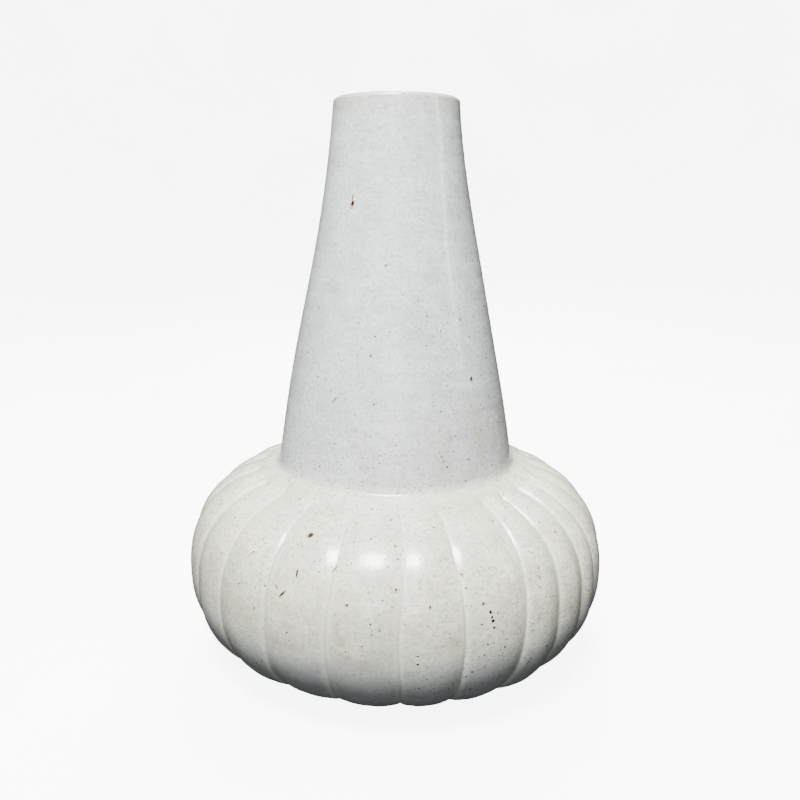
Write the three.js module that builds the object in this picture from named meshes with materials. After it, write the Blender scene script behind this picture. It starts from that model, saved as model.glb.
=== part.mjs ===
// A tall-necked stoneware flower vase: a squat belly fluted like a pumpkin under a long tapering neck.
// It is built as the clay sections a potter makes one by one and lutes together with slip:
//   foot_ring    the unglazed ring that the vase stands on
//   belly_lower  the fluted bowl with the floor
//   belly_upper  the fluted shoulder, open at the top
//   luting_coil  the coil that is pressed into the corner round the neck and smoothed to a fillet
//   neck         the tall collar with its rounded lip
// Millimetres, +Z up. The origin is on the table under the vase's axis, and -Y is the front.

import * as THREE from 'three';

// ---- Driving dimensions ----

const vaseHeight = 400;

// The belly: one rounded outline above its widest circle and another below it.
const bellyRadius = 155; // over the lobes, at the widest circle
const upperRise = 75.5; // from the widest circle up to where the shoulder's curve levels off
const upperCore = 60; // radius at which the shoulder's curve levels off
const upperFullness = 2.4; // exponent of the outline: 2 is an ellipse, more is squarer
const lowerDrop = 63; // from the widest circle down to the flat underside
const lowerFullness = 2.2;
const undersideMargin = 16; // flat underside left round the foot ring
const bellyWall = 7;
const floorThickness = 9;

// The creases that part the lobes, by azimuth in degrees from the front, positive towards +X.
// They were scraped by hand, so their spacing wanders. The ones at the back are even.
const frontCreases = [-100, -84, -65, -48.5, -32, -15.5, 1.5, 16, 32.5, 45, 57.5, 67, 78.5, 91.5];
const backCreaseCount = 12;
const creaseDepth = 3;
const creaseMargin = 4; // smooth clay left between a crease's end and the coil or the foot ring
const creaseRunOut = 32; // length over which a crease fades in from its end

const footHeight = 6;
const footOuterRadius = 74;
const footInnerRadius = 64;

// The neck: a cubic curve from its base to its mouth, with its control points at even heights.
const neckBaseRadius = 87;
const neckLowerPull = 77.7; // radius of the lower control point
const neckUpperPull = 50.6; // radius of the upper control point
const mouthRadius = 43.7;
const neckWall = 6;

const coilWidth = 8; // how far the coil spreads over the shoulder
const coilHeight = 9; // how far it climbs the neck
const coilTopLand = 0.5; // width left at its upper edge
const jointGap = 0.3; // kept between curved faces that meet

// ---- Resolution of the curved surfaces ----

const facetsPerLobe = 4;
const roundFacets = 52;
const bellyOutsideSteps = 7;
const bellyInsideSteps = 5;
const neckSteps = 9;
const lipSteps = 6;
const coilSteps = 4;

// ---- Places worked out from the dimensions ----

const widestHeight = footHeight + lowerDrop;
const lowerCore = footOuterRadius + undersideMargin;
const coilOuterRadius = neckBaseRadius + coilWidth;
const openingRadius = neckBaseRadius - neckWall;
const lipRadius = neckWall / 2;

// The four quarter outlines of the belly. Each one runs from the widest circle, at core + reach,
// to the level stretch that starts at the core radius. rise is negative below the widest circle.
const outerUpper = {
  core: upperCore,
  reach: bellyRadius - upperCore,
  rise: upperRise,
  fullness: upperFullness,
};
const outerLower = {
  core: lowerCore,
  reach: bellyRadius - lowerCore,
  rise: -lowerDrop,
  fullness: lowerFullness,
};
const innerUpper = {
  ...outerUpper,
  reach: outerUpper.reach - bellyWall,
  rise: upperRise - bellyWall,
};
const innerLower = {
  ...outerLower,
  reach: outerLower.reach - bellyWall,
  rise: floorThickness - lowerDrop,
};

// The neck and its coil stand on a flat seat, level with the shoulder at the coil's outer edge.
const seatHeight = heightAt(outerUpper, coilOuterRadius);

// ---- The belly's outline ----

// Height of a quarter outline at a radius.
function heightAt(quarter, radius) {
  const across = Math.max(0, (radius - quarter.core) / quarter.reach);
  const up = (1 - across ** quarter.fullness) ** (1 / quarter.fullness);
  return widestHeight + quarter.rise * up;
}

// Slope of a quarter outline at a radius: the change of height for each millimetre outwards.
function slopeAt(quarter, radius) {
  const across = (radius - quarter.core) / quarter.reach;
  const up = (heightAt(quarter, radius) - widestHeight) / quarter.rise;
  return (-quarter.rise / quarter.reach) * (across / up) ** (quarter.fullness - 1);
}

// Points along a quarter outline from the widest circle in to endRadius. Each point's pull is
// square to the surface and as long as a crease is deep there. It is zero up to creaseEnd.
function quarterPoints(quarter, endRadius, steps, creaseEnd = Infinity) {
  const power = 2 / quarter.fullness;
  const endAcross = (endRadius - quarter.core) / quarter.reach;
  const endAngle = Math.acos(endAcross ** (1 / power));
  const points = [];
  for (let step = 0; step <= steps; step++) {
    const angle = (endAngle * step) / steps;
    const across = Math.max(0, Math.cos(angle)) ** power;
    const up = Math.sin(angle) ** power;
    const radius = quarter.core + quarter.reach * across;
    const inwards = new THREE.Vector2(
      -(across ** (quarter.fullness - 1)) / quarter.reach,
      -(up ** (quarter.fullness - 1)) / quarter.rise,
    );
    const share = THREE.MathUtils.smoothstep(radius, creaseEnd, creaseEnd + creaseRunOut);
    const point = new THREE.Vector2(radius, widestHeight + quarter.rise * up);
    point.pull = inwards.setLength(creaseDepth * share);
    points.push(point);
  }
  return points;
}

// ---- Turned and fluted forms ----

// A profile of [radius, height] points, turned round the Z axis. It starts and ends on the axis,
// or closes on itself, and runs so that its faces point out.
function turned(profile, facets) {
  const geometry = new THREE.LatheGeometry(profile, facets);
  geometry.rotateX(Math.PI / 2);
  return geometry;
}

// Every crease's azimuth, in radians, with the first one again after a full turn.
function creaseAzimuths() {
  const first = frontCreases[0];
  const last = frontCreases.at(-1);
  const backStep = (first + 360 - last) / (backCreaseCount + 1);
  const azimuths = [...frontCreases];
  for (let back = 1; back <= backCreaseCount + 1; back++) {
    azimuths.push(last + back * backStep);
  }
  return azimuths.map(THREE.MathUtils.degToRad);
}

// A turned form whose points sink along their pull at each crease. Across a lobe the depth
// follows a parabola, so that the lobes meet in sharp creases.
function fluted(profile) {
  const azimuths = creaseAzimuths();
  const lobeCount = azimuths.length - 1;
  const geometry = turned(profile, lobeCount * facetsPerLobe);
  const position = geometry.getAttribute('position');
  for (let vertex = 0; vertex < position.count; vertex++) {
    const point = profile[vertex % profile.length];
    const column = Math.floor(vertex / profile.length) % (lobeCount * facetsPerLobe);
    const lobe = Math.floor(column / facetsPerLobe);
    const across = (column % facetsPerLobe) / facetsPerLobe;
    const azimuth = THREE.MathUtils.lerp(azimuths[lobe], azimuths[lobe + 1], across);
    const sunk = (2 * across - 1) ** 2;
    const pull = point.pull ?? new THREE.Vector2();
    const radius = point.x + sunk * pull.x;
    const height = point.y + sunk * pull.y;
    position.setXYZ(vertex, radius * Math.sin(azimuth), -radius * Math.cos(azimuth), height);
  }
  return geometry;
}

// ---- The clay sections ----

function footRing() {
  const profile = [
    new THREE.Vector2(footInnerRadius, 0),
    new THREE.Vector2(footOuterRadius, 0),
    new THREE.Vector2(footOuterRadius, footHeight),
    new THREE.Vector2(footInnerRadius, footHeight),
    new THREE.Vector2(footInnerRadius, 0),
  ];
  return turned(profile, roundFacets);
}

function bellyLower() {
  const creaseEnd = footOuterRadius + creaseMargin;
  const outside = quarterPoints(outerLower, lowerCore, bellyOutsideSteps, creaseEnd);
  const inside = quarterPoints(innerLower, lowerCore, bellyInsideSteps);
  const profile = [
    new THREE.Vector2(0, footHeight),
    new THREE.Vector2(creaseEnd, footHeight),
    ...outside.reverse(),
    ...inside,
    new THREE.Vector2(0, footHeight + floorThickness),
  ];
  return fluted(profile);
}

function bellyUpper() {
  const creaseEnd = coilOuterRadius + creaseMargin;
  const outside = quarterPoints(outerUpper, coilOuterRadius, bellyOutsideSteps, creaseEnd);
  const inside = quarterPoints(innerUpper, openingRadius, bellyInsideSteps);
  const profile = [
    ...outside,
    new THREE.Vector2(openingRadius, seatHeight),
    ...inside.reverse(),
    outside[0],
  ];
  return fluted(profile);
}

// The outside of the neck, from its seat to the start of the lip.
function neckCurve() {
  const top = vaseHeight - lipRadius;
  const radii = [neckBaseRadius, neckLowerPull, neckUpperPull, mouthRadius];
  const controls = radii.map(
    (radius, index) => new THREE.Vector2(radius, THREE.MathUtils.lerp(seatHeight, top, index / 3)),
  );
  return new THREE.CubicBezierCurve(...controls);
}

function neck() {
  const outside = neckCurve().getPoints(neckSteps);
  const inside = outside.map((point) => new THREE.Vector2(point.x - neckWall, point.y));
  const lip = [];
  for (let step = 1; step < lipSteps; step++) {
    const angle = (Math.PI * step) / lipSteps;
    lip.push(
      new THREE.Vector2(
        mouthRadius - lipRadius + lipRadius * Math.cos(angle),
        vaseHeight - lipRadius + lipRadius * Math.sin(angle),
      ),
    );
  }
  return turned([...outside, ...lip, ...inside.reverse(), outside[0]], roundFacets);
}

// The coil's face is hollow: it leaves the shoulder along its slope and meets the neck along its side.
function lutingCoil() {
  const curve = neckCurve();
  const share = coilHeight / (vaseHeight - lipRadius - seatHeight);
  const neckSide = curve.getPoint(share).x + jointGap;
  const shoulderRise = -slopeAt(outerUpper, coilOuterRadius) * coilWidth;
  const face = new THREE.QuadraticBezierCurve(
    new THREE.Vector2(coilOuterRadius, seatHeight),
    new THREE.Vector2(neckBaseRadius + coilTopLand, seatHeight + shoulderRise),
    new THREE.Vector2(neckSide + coilTopLand, seatHeight + coilHeight),
  );
  const foot = new THREE.Vector2(neckBaseRadius + jointGap, seatHeight);
  const profile = [
    foot,
    ...face.getPoints(coilSteps),
    new THREE.Vector2(neckSide, seatHeight + coilHeight),
    foot,
  ];
  return turned(profile, roundFacets);
}

// ---- Finishes ----

const bareStoneware = new THREE.MeshStandardMaterial({ color: 0x9a8a76, roughness: 0.9, metalness: 0 });
const warmGlaze = new THREE.MeshStandardMaterial({ color: 0xe2e3dd, roughness: 0.35, metalness: 0 });
const coolGlaze = new THREE.MeshStandardMaterial({ color: 0xd9dbdc, roughness: 0.32, metalness: 0 });

function section(name, geometry, material) {
  const mesh = new THREE.Mesh(geometry, material);
  mesh.name = name;
  return mesh;
}

const vase = new THREE.Group();
vase.name = 'flower_vase';
vase.add(
  section('foot_ring', footRing(), bareStoneware),
  section('belly_lower', bellyLower(), warmGlaze),
  section('belly_upper', bellyUpper(), warmGlaze),
  section('luting_coil', lutingCoil(), warmGlaze),
  section('neck', neck(), coolGlaze),
);

export default vase;
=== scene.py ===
"""A fluted stoneware flower vase: a pumpkin-ribbed belly under a tall tapering neck.

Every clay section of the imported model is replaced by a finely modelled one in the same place, with
a speckled off-white glaze on all but the foot. Metres, +Z up, the front is -Y. Azimuths are counted
from the front, positive towards +X.
"""

import math

import bmesh
import bpy
import numpy as np
from mathutils import Matrix, Vector
from mathutils.bvhtree import BVHTree


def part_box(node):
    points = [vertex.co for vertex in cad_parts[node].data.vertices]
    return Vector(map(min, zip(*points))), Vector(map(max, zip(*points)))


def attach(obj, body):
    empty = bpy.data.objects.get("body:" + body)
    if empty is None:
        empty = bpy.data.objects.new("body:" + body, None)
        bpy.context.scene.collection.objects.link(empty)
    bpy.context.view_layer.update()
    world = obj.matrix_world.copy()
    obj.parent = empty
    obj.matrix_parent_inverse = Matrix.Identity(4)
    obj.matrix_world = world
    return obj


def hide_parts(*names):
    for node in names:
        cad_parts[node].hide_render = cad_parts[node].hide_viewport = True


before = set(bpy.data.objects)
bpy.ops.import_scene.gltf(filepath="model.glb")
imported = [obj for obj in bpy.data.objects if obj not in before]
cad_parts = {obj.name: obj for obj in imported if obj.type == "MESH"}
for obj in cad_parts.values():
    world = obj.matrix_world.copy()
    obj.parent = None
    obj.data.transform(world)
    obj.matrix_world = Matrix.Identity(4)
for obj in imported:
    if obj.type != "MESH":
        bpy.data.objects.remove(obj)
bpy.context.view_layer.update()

MM = 0.001
SEED = 7

# ---- Places and sizes, taken from the frame where it knows them ----

NECK_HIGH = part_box("neck")[1]
UPPER_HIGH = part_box("belly_upper")[1]
COIL_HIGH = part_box("luting_coil")[1]
LOWER_LOW, LOWER_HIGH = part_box("belly_lower")
FOOT_LOW, FOOT_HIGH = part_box("foot_ring")

BELLY_RADIUS = 155 * MM  # over the lobes
WIDEST = LOWER_HIGH.z  # height of the widest circle
SEAT = UPPER_HIGH.z
UNDERSIDE = LOWER_LOW.z
LIP_TOP = NECK_HIGH.z
NECK_BASE = NECK_HIGH.x
FOOT_OUTER = FOOT_HIGH.x
FOOT_WIDTH = 10 * MM
FOOT_INNER = FOOT_OUTER - FOOT_WIDTH
FOOT_ROUNDING = 1.2 * MM
COIL_OUTER = COIL_HIGH.x
COIL_TOP = COIL_HIGH.z

# The outline of the belly: a quarter superellipse above the widest circle and one below it.
UPPER_CORE = 60 * MM
UPPER_REACH = BELLY_RADIUS - UPPER_CORE
UPPER_RISE = 75.5 * MM
UPPER_FULLNESS = 2.4
LOWER_CORE = 90 * MM
LOWER_REACH = BELLY_RADIUS - LOWER_CORE
LOWER_FULLNESS = 2.2
BELLY_WALL = 7 * MM
FLOOR_THICKNESS = 9 * MM

# The neck's cubic outline, from its base to its mouth.
NECK_RADII = (NECK_BASE, 77.7 * MM, 50.6 * MM, 43.7 * MM)
NECK_WALL = 6 * MM
LIP_RADIUS = NECK_WALL / 2

# The coil's face is a rational curve, and its back is buried in the neck and the shoulder.
COIL_TIGHTNESS = 2.2  # 1 is an even curve, more is drawn into the corner
COIL_EMBED = 0.15 * MM
COIL_OVERHANG = 0.5 * MM  # past the CAD coil's outer edge
COIL_CORNER_GAP = 0.3 * MM  # from the neck to the point that the curve is drawn to
COIL_BACK = 2 * MM  # inside the neck's surface
COIL_BACK_DROP = 1 * MM

# ---- The hand-scraped creases, by azimuth in degrees ----

FRONT_CREASES = [-100, -84, -65, -48.5, -32, -15.5, 1.5, 16, 32.5, 45, 57.5, 67, 78.5, 91.5]
BACK_CREASES = 12  # evenly spaced
LEANING_CREASE = 8  # this one runs askew: its foot lies nearer the front than its head
LEAN = 2.6  # degrees either way
WAVER = 0.22  # degrees
CREASE_DEPTH = 3 * MM
DEPTH_SCATTER = 0.1  # share of the depth
# Where the scraper dug deeper: azimuth and spread in degrees, and the extra share of depth.
DEEPER_CREASES = [(58, 22, 0.7), (-80, 26, 0.4)]
CREASE_MARGIN = 4 * MM  # from the foot ring to where the creases end below
CREASE_START = 1 * MM  # from the coil to where they begin above
LOWER_RUN_OUT = 30 * MM  # length over which a crease fades in from its end, at the front
UPPER_RUN_OUT = 18 * MM
SIDE_RUN_OUT = 0.5  # share of either length that is left at the sides and the back
FRONT_SPREAD = 0.14  # how far round the front reaches, as 1 - cos(azimuth)
CREASE_ROUNDING = 0.03  # share of half a lobe
HOLLOW_REACH = 0.26  # share of half a lobe over which glaze gathers beside a crease

# A crease's depth is shared between the rounding of the lobes and a groove in the corner.
ROUNDING_SHARE, ROUNDING_POWER = 0.74, 2
GROOVE_SHARE, GROOVE_POWER = 0.26, 12
GROOVE_SCATTER = 0.3

# How uneven the walls are.
LOBE_SWELL_SIZE = 0.35 * MM
SCRAPE_SIZE = 0.055 * MM
WOBBLE_SIZE = 0.3 * MM
RING_PITCH, FINE_RING_PITCH = 13 * MM, 5.3 * MM
RING_SIZE, FINE_RING_SIZE = 0.07, 0.035  # millimetres
NECK_FADE_IN, NECK_FADE_OUT = 30 * MM, 12 * MM  # it dies away over these at the neck's ends
WIPED_MARGIN = 1.8  # millimetres of glaze-free clay left round the foot ring

# ---- Resolution ----

COLUMNS_PER_LOBE = 26
ROUND_COLUMNS = 288
UPPER_ROWS, LOWER_ROWS = 96, 84
INSIDE_ROWS = 20
UNDERSIDE_ROWS = 10
NECK_ROWS = 190
NECK_INSIDE_SKIP = 3  # the inside takes every third row
LIP_ROWS = 15
COIL_ROWS = 25
FOOT_CORNER_STEPS = 6
STAIN_POINTS = 40
SHARP_ANGLE = 60  # degrees, sharper edges stay edges in the shading
WELD_DISTANCE = 1e-6

# ---- Marks on the glaze ----

# Iron spots in the clay that broke through the glaze: azimuth in degrees, height, length and width
# in millimetres, lean in degrees from upright towards +X, and strength, which is above 1 where the
# spot is burnt black and 0.6 where it is only rusty.
IRON_SPOTS = [
    (-24.4, 128.0, 4.6, 6.0, 80, 1.05),
    (-24.3, 110.2, 6.8, 1.7, -4, 1.05),
    (-27.1, 97.5, 7.0, 2.0, 38, 1.15),
    (-29.2, 100.5, 4.0, 1.5, -35, 0.75),
    (-15.0, 114.6, 6.0, 1.8, 35, 0.85),
    (-10.8, 97.5, 2.8, 2.4, 0, 0.7),
    (0.3, 106.2, 3.6, 2.2, -20, 0.6),
    (8.0, 97.1, 2.8, 2.2, 0, 0.6),
    (20.7, 95.1, 2.7, 2.4, 0, 0.75),
    (22.3, 89.9, 2.4, 2.2, 0, 1.4),
    (22.6, 86.6, 2.2, 2.0, 0, 1.4),
    (22.8, 84.2, 2.6, 2.2, 0, 1.4),
    (23.0, 80.0, 2.1, 1.9, 0, 1.3),
    (5.2, 62.0, 2.8, 2.4, 0, 0.7),
    (-39.1, 114.3, 3.0, 2.4, 0, 0.6),
    (-34.8, 83.8, 2.8, 2.4, 0, 0.6),
    (42.5, 131.0, 6.5, 1.6, -12, 0.7),
    (50.4, 119.6, 3.0, 2.4, 0, 0.8),
    (37.5, 101.9, 4.4, 1.7, -8, 0.7),
    (16.6, 111.5, 4.4, 2.0, -30, 0.6),
    (-32.7, 330.0, 6.4, 4.2, 10, 0.7),
    (-33.2, 334.0, 9.0, 1.8, 6, 0.6),
    (-6.2, 291.1, 2.8, 2.4, 0, 0.7),
    (41.9, 215.9, 5.0, 3.4, 0, 0.8),
    (-31.1, 203.9, 6.5, 1.4, 40, 0.75),
    (39.5, 255.2, 2.6, 2.2, 0, 0.7),
    (-13.0, 233.8, 2.4, 2.2, 0, 0.7),
]
BLISTER_HEIGHT = 0.1 * MM
BLISTER_CLEARANCE = 0.012 * MM
BLISTER_OVAL, BLISTER_SCATTER = 0.16, 0.1  # how uneven its outline is, as shares of its reach
BLISTER_SIDES = 16
BLISTER_RINGS = (0.22, 0.42, 0.6, 0.8, 1.0)  # shares of its reach
# Where the rays that look for the glaze start, from the axis and from the wall.
FAR_OUT, NEAR_OUT = 0.3, 0.02

# Brown runs that the glaze left on the front of the belly: the points of each, as azimuth in
# degrees and height in millimetres.
STAINS = [
    [(-14, 68), (-12.5, 65), (-9.9, 63.5), (-6, 63.8), (-4.5, 65.5)],
    [(-29, 67), (-25, 66), (-21.5, 66)],
    [(-13.5, 99), (-13, 86), (-12, 75)],
    [(8, 100), (11, 96), (12, 90)],
    [(34.5, 96), (36, 86), (36, 78)],
]
STAIN_WIDTH = 2.6 * MM
STAIN_EDGE = 1.6  # a run fades out this many widths from its line


def around(azimuth):
    """The direction that points out at an azimuth, as x and y."""
    return np.sin(azimuth), -np.cos(azimuth)


# ---- Outlines, as arrays of radius and height ----


def superellipse(core, reach, rise, fullness, end_radius, rows):
    """A quarter outline of the belly, from the widest circle in to end_radius.

    It gives each point's radius and height, and the direction out of the wall there.
    """
    power = 2 / fullness
    end = math.acos(((end_radius - core) / reach) ** (1 / power))
    angle = np.linspace(0, end, rows + 1)
    across = np.clip(np.cos(angle), 0, 1) ** power
    up = np.sin(angle) ** power
    normal = np.stack([across ** (fullness - 1) / reach, up ** (fullness - 1) / rise], 1)
    normal /= np.linalg.norm(normal, axis=1)[:, None]
    return core + reach * across, WIDEST + rise * up, normal


def neck_radius(height):
    """Outer radius of the neck at a height."""
    t = np.clip((height - SEAT) / (LIP_TOP - LIP_RADIUS - SEAT), 0, 1)
    r0, r1, r2, r3 = NECK_RADII
    return r0 * (1 - t) ** 3 + 3 * r1 * t * (1 - t) ** 2 + 3 * r2 * t**2 * (1 - t) + r3 * t**3


# ---- The lobes ----


def crease_azimuths():
    """Every crease's azimuth in radians, with the first again after a full turn."""
    first, last = FRONT_CREASES[0], FRONT_CREASES[-1]
    step = (first + 360 - last) / (BACK_CREASES + 1)
    back = [last + step * (n + 1) for n in range(BACK_CREASES + 1)]
    return np.radians(FRONT_CREASES + back)


CREASES = crease_azimuths()
LOBES = len(CREASES) - 1
draw = np.random.default_rng(SEED).standard_normal
CREASE_DEPTHS = 1 + DEPTH_SCATTER * draw(LOBES).clip(-1.5, 1.5)
for middle, spread, extra in DEEPER_CREASES:
    CREASE_DEPTHS += extra * np.exp(-((np.degrees(CREASES[:-1]) - middle) / spread) ** 2)
LOBE_SWELL = LOBE_SWELL_SIZE * draw(LOBES).clip(-1.8, 1.8)
CREASE_WAVER = np.radians(WAVER) * draw((LOBES, 3))


def crease_offset(crease, climb):
    """How far a crease strays from its azimuth.

    climb runs from -1 at the underside through 0 at the widest circle to 1 at the neck.
    """
    long, middle, short = CREASE_WAVER[crease % LOBES]
    offset = long * np.sin(2.1 * climb) + middle * np.cos(3.3 * climb)
    offset = offset + short * np.sin(5.7 * climb + 1)
    if crease % LOBES == LEANING_CREASE:
        offset = offset + np.radians(LEAN) * climb
    return offset


def crease_depth(lobe, place):
    """The crease depth that counts at a place from -1 to 1 across a lobe, as a share.

    A crease is equally deep on both of its sides, so it slides from one crease's to the next's.
    """
    left, right = CREASE_DEPTHS[lobe], CREASE_DEPTHS[(lobe + 1) % LOBES]
    return left + (right - left) * (place + 1) / 2


def run_in(radius, azimuth, start, run_out):
    """0 at a crease's end, 1 once it has run in to its full depth."""
    front = np.exp(-((1 - np.cos(azimuth)) / FRONT_SPREAD) ** 2)
    run_out = run_out * (SIDE_RUN_OUT + (1 - SIDE_RUN_OUT) * front)
    share = np.clip((radius - start) / run_out, 0, 1)
    return share * share * (3 - 2 * share)


def lobe_section(lobe, place, climb):
    """How deep the surface is sunk at a place from -1 to 1 across a lobe, as a share.

    It is 0 on the lobe's crown and nearly 1 in a crease. The groove comes and goes along the
    crease, alike on both of its sides.
    """
    edge = max(0, 1 - math.hypot(1 - abs(place), CREASE_ROUNDING))
    groove = GROOVE_SHARE * edge**GROOVE_POWER
    phase = 7 * climb + 2.3 * lobe + np.sign(place) * 2.3 / 2
    return ROUNDING_SHARE * edge**ROUNDING_POWER + groove * (1 + GROOVE_SCATTER * np.sin(phase))


def scrape_marks(lobe, place, climb):
    """The shallow upright facets that the scraper left on a lobe, in metres."""
    wide = np.sin(9 * place + 5 * lobe + 1.5 * climb)
    narrow = np.sin(16 * place + 3 * lobe - 2.4 * climb)
    return SCRAPE_SIZE * (wide + 0.7 * narrow) * (1 - place**8)


def wobble(azimuth, height):
    """Slow unevenness of a hand-thrown wall, in metres."""
    oval = np.sin(2 * azimuth + 0.7)
    twist = 0.6 * np.sin(3 * azimuth + 31 * height)
    return WOBBLE_SIZE * (oval + twist + 0.5 * np.cos(5 * azimuth - 47 * height))


def throwing_rings(azimuth, height):
    """The faint spiral ridges that a potter's fingers leave, in metres."""
    turn = azimuth / (2 * math.pi)
    coarse = np.sin(2 * math.pi * (height / RING_PITCH + turn))
    fine = np.sin(2 * math.pi * (height / FINE_RING_PITCH + turn) + 2 * np.sin(40 * height))
    patchy = 0.6 + 0.4 * np.sin(3 * azimuth + 60 * height)
    return MM * (RING_SIZE * coarse + FINE_RING_SIZE * fine) * patchy


def belly_column(radius, height, normal, lobe, place, climb, crease_end):
    """One column of the fluted surface, at a place from -1 to 1 across a lobe.

    It gives the column's points, and how near each one is to a crease, 0 to 1.
    """
    left = CREASES[lobe] + crease_offset(lobe, climb)
    right = CREASES[lobe + 1] + crease_offset(lobe + 1, climb)
    azimuth = left + (right - left) * (place + 1) / 2
    share = run_in(radius, azimuth, *crease_end)
    depth = CREASE_DEPTH * crease_depth(lobe, place) * lobe_section(lobe, place, climb)
    swell = LOBE_SWELL[lobe] * (1 - place**2) + scrape_marks(lobe, place, climb)
    out = (swell + wobble(azimuth, height) - depth) * share
    r = radius + out * normal[:, 0]
    x, y = around(azimuth)
    points = np.stack([r * x, r * y, height + out * normal[:, 1]], 1)
    return points, share * max(0, 1 - (1 - abs(place)) / HOLLOW_REACH)


def belly_grid(radius, height, normal, crease_end):
    """The fluted surface over an outline: points[column, row], and each one's nearness to a crease.

    crease_end is the radius where the creases begin, and the length over which they fade in there.
    Columns crowd towards the creases.
    """
    spread = np.linspace(-1, 1, COLUMNS_PER_LOBE + 1)[:-1]
    climb = (height - WIDEST) / np.where(height > WIDEST, UPPER_RISE, WIDEST - UNDERSIDE)
    outline = (radius, height, normal)
    columns = [
        belly_column(*outline, lobe, place, climb, crease_end)
        for lobe in range(LOBES)
        for place in np.sin(spread * math.pi / 2)
    ]
    points, hollows = zip(*columns)
    return np.array(points), np.array(hollows)


def smooth_grid(radius, height, normal):
    """The same columns with no creases, for the inside."""
    return belly_grid(radius, height, normal, (BELLY_RADIUS, LOWER_RUN_OUT))[0]


def round_grid(radius, height, columns, relief=None):
    """A surface of revolution over an outline, with relief(azimuth, height) added to its radius."""
    azimuth = np.linspace(0, 2 * math.pi, columns, endpoint=False)[:, None]
    r = np.broadcast_to(radius, (columns, len(radius))).copy()
    z = np.broadcast_to(height, r.shape)
    if relief is not None:
        r += relief(azimuth, z)
    x, y = around(azimuth)
    return np.stack([r * x, r * y, z], 2)


# ---- Meshes ----


def mesh_from_grid(name, grid, closed, **attributes):
    """A piece from points[column, row], closed round the columns.

    Its rows close on themselves, or end on the axis. Each attribute, a number for each point, is
    kept for the materials.
    """
    columns, rows = grid.shape[:2]
    here = np.arange(columns) * rows
    there = (np.arange(columns) + 1) % columns * rows
    faces = []
    for row in range(rows if closed else rows - 1):
        above = (row + 1) % rows
        faces += np.stack([there + row, there + above, here + above, here + row], 1).tolist()
    mesh = bpy.data.meshes.new(name)
    mesh.from_pydata(grid.reshape(-1, 3).tolist(), [], faces)
    for key, values in attributes.items():
        mesh.attributes.new(key, "FLOAT", "POINT").data.foreach_set("value", values.ravel())
    weld(mesh)
    mesh.shade_smooth()
    mesh.set_sharp_from_angle(angle=math.radians(SHARP_ANGLE))
    return link_new(name, mesh)


def link_new(name, data):
    thing = bpy.data.objects.new(name, data)
    bpy.context.scene.collection.objects.link(thing)
    return thing


def weld(mesh):
    """Joins the points that meet on the axis, and turns the faces out."""
    work = bmesh.new()
    work.from_mesh(mesh)
    bmesh.ops.remove_doubles(work, verts=work.verts, dist=WELD_DISTANCE)
    bmesh.ops.dissolve_degenerate(work, edges=work.edges, dist=WELD_DISTANCE)
    bmesh.ops.recalc_face_normals(work, faces=work.faces)
    work.to_mesh(mesh)
    work.free()


def stained(grid):
    """How near each point is to a brown run, 0 to 1."""
    closest = np.full(grid.shape[:2], np.inf)
    for run in STAINS:
        azimuths, heights = np.transpose(run)
        path = np.linspace(0, len(run) - 1, STAIN_POINTS)
        azimuth = np.interp(path, range(len(run)), np.radians(azimuths))
        height = np.interp(path, range(len(run)), MM * heights)
        x, y = around(azimuth)
        for spot in np.stack([BELLY_RADIUS * x, BELLY_RADIUS * y, height], 1):
            closest = np.minimum(closest, np.linalg.norm(grid - spot, axis=2))
    return np.clip(STAIN_EDGE - closest / STAIN_WIDTH, 0, 1)


def make_belly_lower():
    drop = UNDERSIDE - WIDEST
    outside = superellipse(
        LOWER_CORE, LOWER_REACH, drop, LOWER_FULLNESS, LOWER_CORE, LOWER_ROWS
    )
    inside = superellipse(
        LOWER_CORE,
        LOWER_REACH - BELLY_WALL,
        drop + FLOOR_THICKNESS,
        LOWER_FULLNESS,
        LOWER_CORE,
        INSIDE_ROWS,
    )
    start = FOOT_OUTER + CREASE_MARGIN
    flat = np.linspace(LOWER_CORE, start, UNDERSIDE_ROWS)[1:]
    radius = np.concatenate([outside[0], flat])
    height = np.concatenate([outside[1], np.full(len(flat), UNDERSIDE)])
    normal = np.concatenate([outside[2], np.tile([0.0, -1.0], (len(flat), 1))])
    outer, hollow = belly_grid(radius, height, normal, (start, LOWER_RUN_OUT))
    inner = smooth_grid(*inside)
    columns = len(outer)
    floor_centre = np.tile([[[0.0, 0.0, UNDERSIDE + FLOOR_THICKNESS]]], (columns, 1, 1))
    grid = np.concatenate([floor_centre, inner[:, ::-1], outer, glaze_line(columns)], 1)
    hollow = np.pad(hollow, ((0, 0), (inner.shape[1] + 1, 2)))
    return mesh_from_grid(
        "belly_lower_fluted", grid, closed=False, hollow=hollow, stain=stained(grid)
    )


def glaze_line(columns):
    """The wavering edge where the glaze was wiped off the underside, and the underside's middle."""
    azimuth = np.linspace(0, 2 * math.pi, columns, endpoint=False)
    waver = 0.9 * np.sin(5 * azimuth) + 0.6 * np.sin(13 * azimuth + 1)
    radius = FOOT_OUTER + MM * (WIPED_MARGIN + waver)
    x, y = around(azimuth)
    edge = np.stack([radius * x, radius * y, np.full(columns, UNDERSIDE)], 1)
    middle = np.tile([0.0, 0.0, UNDERSIDE], (columns, 1))
    return np.stack([edge, middle], 1)


def bare_underside(piece):
    """Gives the wiped middle of the underside the piece's second material.

    Its faces reach in to the axis, so their centres are well inside the foot ring.
    """
    for face in piece.data.polygons:
        centre = face.center
        underneath = centre.z < UNDERSIDE + 0.1 * MM
        if underneath and math.hypot(centre.x, centre.y) < 0.9 * FOOT_OUTER:
            face.material_index = 1


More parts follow.
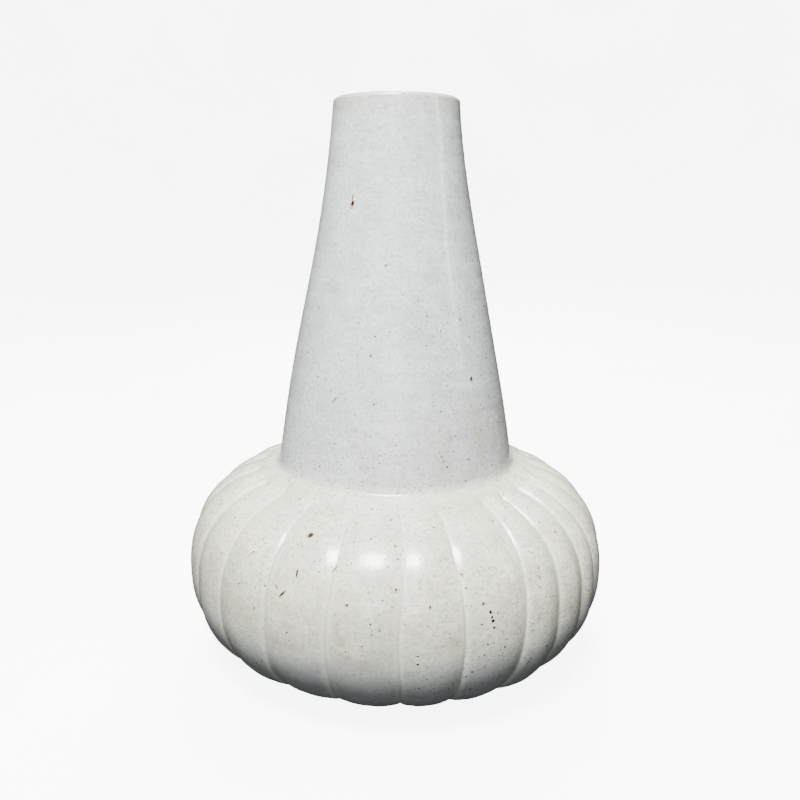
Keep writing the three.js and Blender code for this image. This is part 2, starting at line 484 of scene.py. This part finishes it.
def make_belly_upper():
    opening = NECK_BASE - NECK_WALL
    outside = superellipse(
        UPPER_CORE, UPPER_REACH, UPPER_RISE, UPPER_FULLNESS, COIL_OUTER, UPPER_ROWS
    )
    inside = superellipse(
        UPPER_CORE,
        UPPER_REACH - BELLY_WALL,
        UPPER_RISE - BELLY_WALL,
        UPPER_FULLNESS,
        opening,
        INSIDE_ROWS,
    )
    outer, hollow = belly_grid(*outside, (COIL_OUTER + CREASE_START, UPPER_RUN_OUT))
    edge = smooth_grid(np.array([opening]), np.array([SEAT]), np.array([[0.0, 1.0]]))
    grid = np.concatenate([outer, edge, smooth_grid(*inside)[:, ::-1]], 1)
    hollow = np.pad(hollow, ((0, 0), (0, grid.shape[1] - hollow.shape[1])))
    return mesh_from_grid(
        "belly_upper_fluted", grid, closed=True, hollow=hollow, stain=stained(grid)
    )


def neck_relief(azimuth, height):
    """Rings and wobble, fading out towards the neck's ends."""
    fade = np.clip((height - SEAT) / NECK_FADE_IN, 0, 1)
    fade = fade * np.clip((LIP_TOP - height) / NECK_FADE_OUT, 0, 1)
    return (throwing_rings(azimuth, height) + wobble(azimuth, height)) * fade


def make_neck():
    height = np.linspace(SEAT, LIP_TOP - LIP_RADIUS, NECK_ROWS)
    outer = neck_radius(height)
    angle = np.linspace(0, math.pi, LIP_ROWS)[1:-1]
    lip_radius = outer[-1] - LIP_RADIUS + LIP_RADIUS * np.cos(angle)
    lip_height = LIP_TOP - LIP_RADIUS + LIP_RADIUS * np.sin(angle)
    inner_height = height[::-NECK_INSIDE_SKIP]
    radii = np.concatenate([outer, lip_radius, neck_radius(inner_height) - NECK_WALL])
    heights = np.concatenate([height, lip_height, inner_height])
    grid = round_grid(radii, heights, ROUND_COLUMNS, neck_relief)
    return mesh_from_grid("neck_thrown", grid, closed=True)


def make_coil():
    """The smoothed coil. Its hollow face leaves along the shoulder and runs up into the neck."""
    across = (COIL_OUTER - UPPER_CORE) / UPPER_REACH
    up = (SEAT - WIDEST) / UPPER_RISE
    slope = UPPER_RISE / UPPER_REACH * (across / up) ** (UPPER_FULLNESS - 1)
    corner_height = SEAT + slope * (COIL_OUTER - NECK_BASE)
    foot = np.array([COIL_OUTER + COIL_OVERHANG, SEAT - COIL_EMBED])
    corner = np.array([NECK_BASE + COIL_CORNER_GAP, corner_height])
    head = np.array([neck_radius(COIL_TOP) - COIL_EMBED, COIL_TOP])
    t = np.linspace(0, 1, COIL_ROWS)[:, None]
    pulls = (1 - t) ** 2, 2 * COIL_TIGHTNESS * t * (1 - t), t**2
    face = (foot * pulls[0] + corner * pulls[1] + head * pulls[2]) / sum(pulls)
    back = NECK_BASE - COIL_BACK
    buried = np.array([[back, COIL_TOP - COIL_BACK_DROP], [back, SEAT - COIL_EMBED]])
    outline = np.concatenate([face, buried])
    grid = round_grid(outline[:, 0], outline[:, 1], ROUND_COLUMNS)
    return mesh_from_grid("luting_coil_smoothed", grid, closed=True)


def make_foot():
    """The foot ring, with its two lower corners rounded by the sponge."""
    turn = np.linspace(0, math.pi / 2, FOOT_CORNER_STEPS + 1)
    inwards = FOOT_ROUNDING * (1 - np.cos(turn))
    upwards = FOOT_LOW.z + FOOT_ROUNDING * (1 - np.sin(turn))
    outer, inner = FOOT_OUTER - inwards, FOOT_INNER + inwards
    radius = np.concatenate([[FOOT_OUTER], outer, inner[::-1], [FOOT_INNER]])
    height = np.concatenate([[FOOT_HIGH.z], upwards, upwards[::-1], [FOOT_HIGH.z]])
    return mesh_from_grid("foot_ring_bare", round_grid(radius, height, ROUND_COLUMNS), closed=True)


# ---- Iron spots ----


def surface_finder(pieces):
    """A function that gives the point and direction of the outside skin that a ray meets."""
    vertices, faces = [], []
    for piece in pieces:
        base = len(vertices)
        vertices += [vertex.co.copy() for vertex in piece.data.vertices]
        faces += [[base + index for index in face.vertices] for face in piece.data.polygons]
    tree = BVHTree.FromPolygons(vertices, faces)
    return lambda origin, direction: tree.ray_cast(origin, direction)[:2]


def make_iron_spots(pieces):
    """Every spot is a thin blister on the glaze, with an uneven outline, closed inside the wall."""
    find = surface_finder(pieces)
    random = np.random.default_rng(SEED + 1)
    vertices, faces, iron = [], [], []
    for spot in IRON_SPOTS:
        faces += blister_faces(len(vertices))
        points, strengths = blister_points(find, random, *spot)
        vertices += points
        iron += strengths
    mesh = bpy.data.meshes.new("iron_spots")
    mesh.from_pydata(vertices, [], faces)
    mesh.attributes.new("iron", "FLOAT", "POINT").data.foreach_set("value", iron)
    mesh.shade_smooth()
    return link_new("iron_spots", mesh)


def spot_axes(find, azimuth, height, lean):
    """A spot's middle on the glaze, and the directions out of, along and across the spot."""
    azimuth, lean = math.radians(azimuth), math.radians(lean)
    outward = Vector((math.sin(azimuth), -math.cos(azimuth), 0))
    centre, normal = find(outward * FAR_OUT + Vector((0, 0, height * MM)), -outward)
    sideways = Vector((math.cos(azimuth), math.sin(azimuth), 0))
    sideways = (sideways - normal * sideways.dot(normal)).normalized()
    upwards = normal.cross(sideways)
    along = upwards * math.cos(lean) + sideways * math.sin(lean)
    across = sideways * math.cos(lean) - upwards * math.sin(lean)
    return centre, normal, along, across


def blister_points(find, random, azimuth, height, length, width, lean, strength):
    """The top of a blister, its rings and the point that closes it below, with the iron in each."""
    centre, normal, along, across = spot_axes(find, azimuth, height, lean)
    turns = np.linspace(0, 2 * math.pi, BLISTER_SIDES, endpoint=False)
    uneven = 1 + BLISTER_OVAL * np.sin(2 * turns + random.uniform(0, 6))
    uneven = uneven + BLISTER_SCATTER * random.standard_normal(BLISTER_SIDES)
    proud = BLISTER_HEIGHT * strength
    points = [centre + normal * (proud + BLISTER_CLEARANCE)]
    iron = [strength]
    for share in BLISTER_RINGS:
        rise = proud * (1 - share**2) ** 2 + BLISTER_CLEARANCE
        for turn, reach in zip(turns, uneven):
            reach = share * (1 + (reach - 1) * share) * MM / 2
            offset = along * length * math.cos(turn) * reach
            offset = offset + across * width * math.sin(turn) * reach
            point, _ = find(centre + offset + normal * NEAR_OUT, -normal)
            points.append(point + normal * rise)
            iron.append(strength * (1 - share))
    points.append(centre - normal * 4 * BLISTER_HEIGHT)
    iron.append(0.0)
    return points, iron


def blister_faces(base):
    """The faces of a blister whose first point has that index."""
    first = base + 1
    outer = first + (len(BLISTER_RINGS) - 1) * BLISTER_SIDES
    faces = []
    for side in range(BLISTER_SIDES):
        following = (side + 1) % BLISTER_SIDES
        faces.append((base, first + following, first + side))
        for here in range(first, outer, BLISTER_SIDES):
            there = here + BLISTER_SIDES
            faces.append((here + side, here + following, there + following, there + side))
        faces.append((outer + side, outer + following, outer + BLISTER_SIDES))
    return faces


# ---- Materials ----


def colour(red, green, blue):
    """A colour as it looks on a screen, 0 to 255, as the linear values that a shader takes."""
    screen = [value / 255 for value in (red, green, blue)]
    linear = [v / 12.92 if v <= 0.04045 else ((v + 0.055) / 1.055) ** 2.4 for v in screen]
    return (*linear, 1.0)


WARM_GLAZE = colour(243, 242, 221)
COOL_GLAZE = colour(232, 239, 243)
THIN_GLAZE = colour(224, 207, 192)
RIM_BROWN = colour(170, 150, 130)
CLAY_SHADE = colour(170, 172, 163)
CLAY_STAIN = colour(178, 168, 142)
# painted shade, laid low on the belly
PAINTED_UNDERSIDE_SHADE = colour(160, 168, 178)
THICK_GLAZE = colour(250, 249, 236)
# grey for the scuffs, and painted shade along the crease bottoms
SCUFF_GREY_AND_CREASE_SHADE = colour(160, 159, 144)
BLUSH = colour(200, 188, 166)
SPECK_BROWN = colour(96, 82, 66)
SPECK_DARK = colour(46, 40, 34)
RUST = colour(194, 144, 66)
BURNT_IRON = colour(34, 28, 22)
PALE_CLAY = colour(196, 176, 146)
TAN_CLAY = colour(172, 148, 116)
GROG = colour(138, 112, 84)
CLAY_IRON = colour(78, 56, 40)
PAPER = colour(238, 238, 237)
PAPER_CLOUD = colour(234, 234, 233)


class Nodes:
    """A material's node tree, with short calls for the nodes used here.

    The colours are laid one over another, and tone is what they give so far. The scales of noise
    and specks are in cells for each metre.
    """

    def __init__(self, name, tone):
        self.material = bpy.data.materials.new(name)
        self.material.use_nodes = True
        self.tree = self.material.node_tree
        self.tree.nodes.clear()
        self.shader = self.new("BsdfPrincipled")
        self.link(self.shader.outputs[0], self.new("OutputMaterial").inputs["Surface"])
        self.place = self.new("TexCoord").outputs["Object"]
        self.tone = tone

    def new(self, kind, **inputs):
        """A new node, with values for those of its inputs that have one-word names."""
        node = self.tree.nodes.new("ShaderNode" + kind)
        for name, value in inputs.items():
            self.put(value, node.inputs[name])
        return node

    def link(self, source, target):
        self.tree.links.new(source, target)

    def put(self, value, target):
        """Links a socket to the target, or sets the target to a plain value."""
        if isinstance(value, bpy.types.NodeSocket):
            self.link(value, target)
        else:
            target.default_value = value

    def shade(self, name, value):
        self.put(value, self.shader.inputs[name])

    def lay(self, tone, *shares):
        """Lays a colour over the others, in the product of the shares."""
        self.tone = self.mix(self.product(*shares), self.tone, tone)

    def noise(self, scale, detail=2.0, rough=0.5, place=None):
        place = place or self.place
        node = self.new("TexNoise", Scale=scale, Detail=detail, Roughness=rough, Vector=place)
        return node.outputs["Fac"]

    def shaken(self, scale, distance):
        """The place, moved about at random, so that what is laid on it gets an uneven outline."""
        noise = self.new("TexNoise", Scale=scale, Vector=self.place)
        move = self.new("VectorMath")
        move.operation = "MULTIPLY_ADD"
        self.put(noise.outputs["Color"], move.inputs[0])
        self.put((distance, distance, distance), move.inputs[1])
        self.put(self.place, move.inputs[2])
        return move.outputs[0]

    def stretch(self, x, y, z):
        return self.new("Mapping", Vector=self.place, Scale=(x, y, z)).outputs[0]

    def attribute(self, name):
        node = self.new("Attribute")
        node.attribute_name = name
        return node.outputs["Fac"]

    def axes(self, source=None):
        return self.new("SeparateXYZ", Vector=source or self.place).outputs

    def math(self, operation, *values):
        node = self.new("Math")
        node.operation = operation
        for value, socket in zip(values, node.inputs):
            self.put(value, socket)
        return node.outputs[0]

    def product(self, first, *others):
        for other in others:
            first = self.math("MULTIPLY", first, other)
        return first

    def ramp(self, value, low, high, to_low=0.0, to_high=1.0):
        """value from low..high to to_low..to_high, smoothly, and held beyond."""
        node = self.new("MapRange")
        node.interpolation_type = "SMOOTHSTEP"
        for number, socket in zip((value, low, high, to_low, to_high), node.inputs):
            self.put(number, socket)
        return node.outputs[0]

    def mix(self, share, first, second):
        node = self.new("Mix")
        node.data_type = "RGBA"
        self.put(share, node.inputs["Factor"])
        colours = [socket for socket in node.inputs if socket.type == "RGBA"]
        self.put(first, colours[0])
        self.put(second, colours[1])
        return [socket for socket in node.outputs if socket.type == "RGBA"][0]

    def bump(self, height, strength, distance, normal=None):
        node = self.new("Bump", Strength=strength, Distance=distance, Height=height)
        if normal is not None:
            self.link(normal, node.inputs["Normal"])
        return node.outputs[0]

    def specks(self, scale, size, share, place=None):
        """Soft-edged spots of different sizes, in a random share of the cells."""
        cells = self.new("TexVoronoi", Scale=scale, Vector=place or self.place)
        chosen, girth, _ = self.axes(cells.outputs["Color"])
        radius = self.product(self.math("ADD", girth, 0.35), size)
        within = self.math("DIVIDE", cells.outputs["Distance"], radius)
        inside = self.ramp(within, 0.6, 1.0, 1.0, 0.0)
        return self.product(inside, self.math("LESS_THAN", chosen, share))


def glaze_tone(nodes):
    """The glaze's own colour: cooler up the neck, browner at the lip, and mottled all over."""
    z = nodes.axes()[2]
    cloud = nodes.math("SUBTRACT", nodes.noise(9.0, 4.0), 0.5)
    height = nodes.math("ADD", z, nodes.product(cloud, 12 * MM))
    nodes.lay(COOL_GLAZE, nodes.ramp(height, SEAT + 1.5 * MM, SEAT + 9 * MM))
    nodes.lay(THIN_GLAZE, nodes.ramp(height, LIP_TOP - 16 * MM, LIP_TOP - 2 * MM, 0.0, 0.3))
    nodes.lay(RIM_BROWN, nodes.ramp(z, LIP_TOP - 1.1 * MM, LIP_TOP - 0.1 * MM, 0.0, 0.75))
    nodes.lay(CLAY_SHADE, nodes.ramp(nodes.noise(55.0, 6.0, 0.65), 0.36, 0.72, 0.0, 0.36))
    nodes.lay(CLAY_SHADE, nodes.ramp(nodes.noise(420.0, 4.0, 0.75), 0.42, 0.66, 0.0, 0.62))
    wiped = nodes.noise(70.0, 5.0, 0.65, nodes.stretch(1, 1, 6))
    combed = nodes.noise(330.0, 3.0, 0.6, nodes.stretch(1, 1, 0.06))
    streaks = nodes.ramp(combed, 0.35, 0.65, 0.2, 1.0)
    nodes.lay(CLAY_SHADE, nodes.ramp(wiped, 0.48, 0.75), streaks, 0.6)


def neck_blush(nodes):
    """Patches low on the neck, mostly on its right, where the clay's iron warms the glaze."""
    x, _, z = nodes.axes()
    above = nodes.ramp(z, SEAT, SEAT + 14 * MM)
    below = nodes.ramp(z, SEAT + 75 * MM, SEAT + 35 * MM)
    right = nodes.ramp(x, -30 * MM, 50 * MM, 0.15, 1.0)
    patches = nodes.noise(120.0, 6.0, 0.7, nodes.stretch(1, 1, 0.22))
    nodes.lay(BLUSH, above, below, right, nodes.ramp(patches, 0.4, 0.66), 0.6)


def belly_marks(nodes):
    """The belly's stains, brown runs, scuffs, and painted shade that greys it towards its underside.

    In the creases white glaze is gathered, with painted shade along their bottoms, stronger towards
    the sides.
    """
    x, _, z = nodes.axes()
    low = nodes.ramp(z, SEAT - 2 * MM, WIDEST - 2 * MM)
    patches = nodes.noise(26.0, 7.0, 0.66, nodes.stretch(1, 1, 2.4))
    nodes.lay(CLAY_STAIN, nodes.ramp(patches, 0.5, 0.74), low, 0.55)
    broken = nodes.ramp(nodes.noise(180.0, 5.0, 0.7), 0.35, 0.62)
    nodes.lay(CLAY_STAIN, nodes.attribute("stain"), broken, 0.6)
    scuffs = nodes.noise(95.0, 5.0, 0.7, nodes.stretch(1, 1, 9))
    nodes.lay(SCUFF_GREY_AND_CREASE_SHADE, nodes.ramp(scuffs, 0.57, 0.72), low, 0.55)
    # Painted shade: the glaze is greyed from just above the widest circle down towards the
    # underside.
    nodes.lay(PAINTED_UNDERSIDE_SHADE, nodes.ramp(z, WIDEST + 9 * MM, WIDEST - 26 * MM, 0.0, 0.64))
    hollow = nodes.attribute("hollow")
    uneven = nodes.ramp(nodes.noise(60.0, 3.0), 0.3, 0.65, 0.4, 1.0)
    nodes.lay(THICK_GLAZE, nodes.ramp(hollow, 0.05, 0.75, 0.0, 0.5), uneven)
    # Painted shade along the crease bottoms, stronger towards the sides.
    sides = nodes.ramp(nodes.math("ABSOLUTE", x), 50 * MM, 120 * MM, 0.45, 0.85)
    nodes.lay(SCUFF_GREY_AND_CREASE_SHADE, nodes.ramp(hollow, 0.74, 1.0), sides, uneven)


def iron_specks(nodes):
    """Fine iron specks, thickest low on the neck, on the shoulder and on the belly's right.

    It gives where the larger ones are, for the bump.
    """
    x, _, z = nodes.axes()
    patches = nodes.ramp(nodes.noise(13.0, 3.0), 0.38, 0.64, 0.18, 1.0)
    up_neck = nodes.ramp(z, SEAT + 170 * MM, SEAT + 10 * MM, 0.06, 1.0)
    down_belly = nodes.ramp(z, WIDEST + 10 * MM, SEAT, 0.7, 1.7)
    right = nodes.ramp(x, -110 * MM, 80 * MM, 0.6, 1.0)
    crowd = nodes.product(patches, up_neck, down_belly, right)
    place = nodes.shaken(1100.0, 1.0 * MM)
    fine = nodes.specks(450.0, 0.22, crowd, place)
    medium = nodes.specks(210.0, 0.15, crowd, place)
    large = nodes.specks(80.0, 0.085, crowd, place)
    nodes.lay(SPECK_DARK, fine, 0.85)
    nodes.lay(SPECK_DARK, medium, 0.95)
    nodes.lay(SPECK_BROWN, large, 0.7)
    return nodes.math("MAXIMUM", medium, large)


def spot_colours(nodes):
    """Rust round a spot, and burnt iron in the middle of it."""
    uneven = nodes.math("SUBTRACT", nodes.noise(900.0, 3.0), 0.5)
    iron = nodes.math("ADD", nodes.attribute("iron"), nodes.product(uneven, 0.3))
    nodes.lay(RUST, nodes.ramp(iron, 0.1, 0.34, 0.0, 0.85))
    nodes.lay(BURNT_IRON, nodes.ramp(iron, 0.26, 0.46))


def glaze_material(name, spotted=False):
    """Off-white glaze over speckled stoneware."""
    nodes = Nodes(name, WARM_GLAZE)
    glaze_tone(nodes)
    neck_blush(nodes)
    belly_marks(nodes)
    specks = iron_specks(nodes)
    if spotted:
        spot_colours(nodes)
    peel = nodes.bump(nodes.noise(150.0, 3.0), 0.15, 0.4 * MM)
    pits = nodes.bump(nodes.math("SUBTRACT", 1.0, specks), 0.4, 0.2 * MM, peel)
    nodes.shade("Base Color", nodes.tone)
    nodes.shade("Roughness", nodes.ramp(nodes.noise(40.0, 4.0), 0.3, 0.7, 0.36, 0.48))
    nodes.shade("Normal", pits)
    nodes.shade("IOR", 1.5)
    nodes.shade("Coat Weight", 0.95)
    nodes.shade("Coat Roughness", 0.17)
    return nodes.material


def stoneware_material():
    """Bare fired clay, with grog and iron in it."""
    nodes = Nodes("bare_stoneware", PALE_CLAY)
    grain = nodes.noise(900.0, 3.0, 0.7)
    nodes.lay(TAN_CLAY, nodes.ramp(nodes.noise(45.0, 6.0, 0.6), 0.35, 0.65))
    nodes.lay(GROG, nodes.ramp(grain, 0.45, 0.75, 0.0, 0.5))
    nodes.lay(CLAY_IRON, nodes.specks(260.0, 0.28, 0.25), 0.8)
    nodes.shade("Base Color", nodes.tone)
    nodes.shade("Roughness", nodes.ramp(grain, 0.3, 0.7, 0.78, 0.95))
    nodes.shade("Normal", nodes.bump(grain, 0.5, 0.3 * MM))
    return nodes.material


def paper_material():
    """Pale matt paper that glows, so that it stays as bright as the photo's background."""
    nodes = Nodes("floor_paper", PAPER)
    nodes.lay(PAPER_CLOUD, nodes.ramp(nodes.noise(3.0, 3.0), 0.3, 0.7))
    nodes.shade("Base Color", nodes.tone)
    nodes.shade("Roughness", 0.9)
    nodes.shade("Specular IOR Level", 0.1)
    nodes.shade("Emission Color", nodes.tone)
    nodes.shade("Emission Strength", 8.5)
    return nodes.material


# ---- Stage, lights and camera ----

# The paper: how far it lies flat, the radius it curves up with, and the height it goes up to.
PAPER_FLAT, PAPER_SWEEP, PAPER_TOP = 2.0, 1.2, 3.2
PAPER_COLUMNS, PAPER_ROWS = 96, 24

WHITE_LIGHT = (1.0, 1.0, 1.0)
WARM_LIGHT = (1.0, 0.99, 0.97)
OVERHEAD_LIGHT = (1.0, 0.995, 0.98)
DAYLIGHT = (0.95, 0.98, 1.0)

# The soft rectangular lights: azimuth and elevation in degrees, distance, width and height in
# metres, power in watts, colour, and for some the kind of ray that they are hidden from. The key is
# above the front, weak ones are by the camera and at the sides, and much the same is behind. Those
# hidden from glossy rays leave no sheen along the edges that the camera sees. The window is a
# narrow one far to the right, which only draws a streak up the neck.
LIGHTS = {
    "key_overhead": (-13, 60, 1.7, 0.66, 0.48, 111, (1.0, 0.995, 0.985)),
    "front_fill": (-5, 9, 2.2, 0.9, 0.6, 11, DAYLIGHT),
    "left_fill": (-60, 20, 1.9, 0.5, 1.0, 1.0, (0.9, 0.96, 1.0)),
    "back_overhead": (178, 60, 2.0, 0.45, 0.32, 26, OVERHEAD_LIGHT),
    "back_key": (178, 38, 2.0, 0.8, 0.5, 60, OVERHEAD_LIGHT, "glossy"),
    "back_fill": (165, 14, 2.4, 0.8, 0.5, 10, WARM_LIGHT, "glossy"),
    "right_fill": (100, 4, 2.0, 0.9, 0.5, 3, WARM_LIGHT, "glossy"),
    "far_left_fill": (-100, 4, 2.0, 0.9, 0.5, 3, WARM_LIGHT, "glossy"),
    "window_streak": (76, 19, 2.5, 0.1, 0.9, 8, WHITE_LIGHT, "diffuse"),
}
LIT_HEIGHT = 0.45 * LIP_TOP
SKY_STRENGTH = 0.04

# The camera, a little below the mouth and looking down on the belly, as in the photo.
CAMERA_DISTANCE = 3.8 * BELLY_RADIUS
CAMERA_HEIGHT = WIDEST + 1.667 * BELLY_RADIUS
CAMERA_TILT, CAMERA_ROLL = 13.16, 0.25  # degrees
LENS, SENSOR = 36.5, 36.0
SHIFT_X, SHIFT_Y = 0.0057, -0.0033


def make_stage():
    """A round sheet of pale paper that curves up to a wall far from the vase on every side."""
    angle = np.linspace(0, math.pi / 2, PAPER_ROWS)
    curve = PAPER_FLAT + PAPER_SWEEP * np.sin(angle)
    radius = np.concatenate([[0.0], curve, [PAPER_FLAT + PAPER_SWEEP]])
    rise = PAPER_SWEEP - PAPER_SWEEP * np.cos(angle)
    height = np.concatenate([[0.0], rise, [PAPER_TOP]])
    paper = mesh_from_grid("paper_sweep", round_grid(radius, height, PAPER_COLUMNS), closed=False)
    paper.data.materials.append(paper_material())
    paper.visible_diffuse = False  # the paper glows, but throws no light up under the vase
    paper.visible_glossy = False


def make_light(name, azimuth, elevation, distance, width, height, watts, tint, hidden_from=None):
    """One of the LIGHTS, facing the axis at LIT_HEIGHT."""
    a, e = math.radians(azimuth), math.radians(elevation)
    towards = Vector((math.sin(a) * math.cos(e), -math.cos(a) * math.cos(e), math.sin(e)))
    position = Matrix.Translation(Vector((0, 0, LIT_HEIGHT)) + towards * distance)
    data = bpy.data.lights.new(name, "AREA")
    data.shape = "RECTANGLE"
    data.size = width
    data.size_y = height
    data.energy = watts
    data.color = tint
    light = link_new(name, data)
    light.matrix_world = position @ towards.to_track_quat("Z", "Y").to_matrix().to_4x4()
    light.visible_glossy = hidden_from != "glossy"
    light.visible_diffuse = hidden_from != "diffuse"


def make_sky():
    """Weak daylight from all round."""
    sky = bpy.data.worlds.new("soft_daylight")
    sky.use_nodes = True
    background = sky.node_tree.nodes["Background"]
    background.inputs["Color"].default_value = (*DAYLIGHT, 1.0)
    background.inputs["Strength"].default_value = SKY_STRENGTH
    bpy.context.scene.world = sky


def make_camera():
    data = bpy.data.cameras.new("camera")
    data.sensor_width = SENSOR
    data.lens = LENS
    data.shift_x = SHIFT_X
    data.shift_y = SHIFT_Y
    camera = link_new("camera", data)
    camera.matrix_world = (
        Matrix.Translation((0, -CAMERA_DISTANCE, CAMERA_HEIGHT))
        @ Matrix.Rotation(math.pi / 2 - math.radians(CAMERA_TILT), 4, "X")
        @ Matrix.Rotation(math.radians(CAMERA_ROLL), 4, "Z")
    )
    bpy.context.scene.camera = camera


# ---- The scene ----


def place(piece, slot, node):
    """The piece rides on the one body and stands for its CAD node, which it hides. The slot is not
    used.
    """
    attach(piece, "root")
    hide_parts(node)


make_camera()
for name, light in LIGHTS.items():
    make_light(name, *light)
make_sky()
make_stage()

foot = make_foot()
lower = make_belly_lower()
upper = make_belly_upper()
coil = make_coil()
neck = make_neck()
spots = make_iron_spots([lower, upper, neck])

stoneware = stoneware_material()
glaze = glaze_material("speckled_glaze")
for piece in (lower, upper, coil, neck):
    piece.data.materials.append(glaze)
foot.data.materials.append(stoneware)
lower.data.materials.append(stoneware)
bare_underside(lower)
spots.data.materials.append(glaze_material("iron_spotted_glaze", spotted=True))

place(foot, "bare_stoneware", "foot_ring")
place(lower, "warm_white_glaze", "belly_lower")
place(upper, "warm_white_glaze", "belly_upper")
place(coil, "warm_white_glaze", "luting_coil")
place(neck, "cool_white_glaze", "neck")
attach(spots, "root")
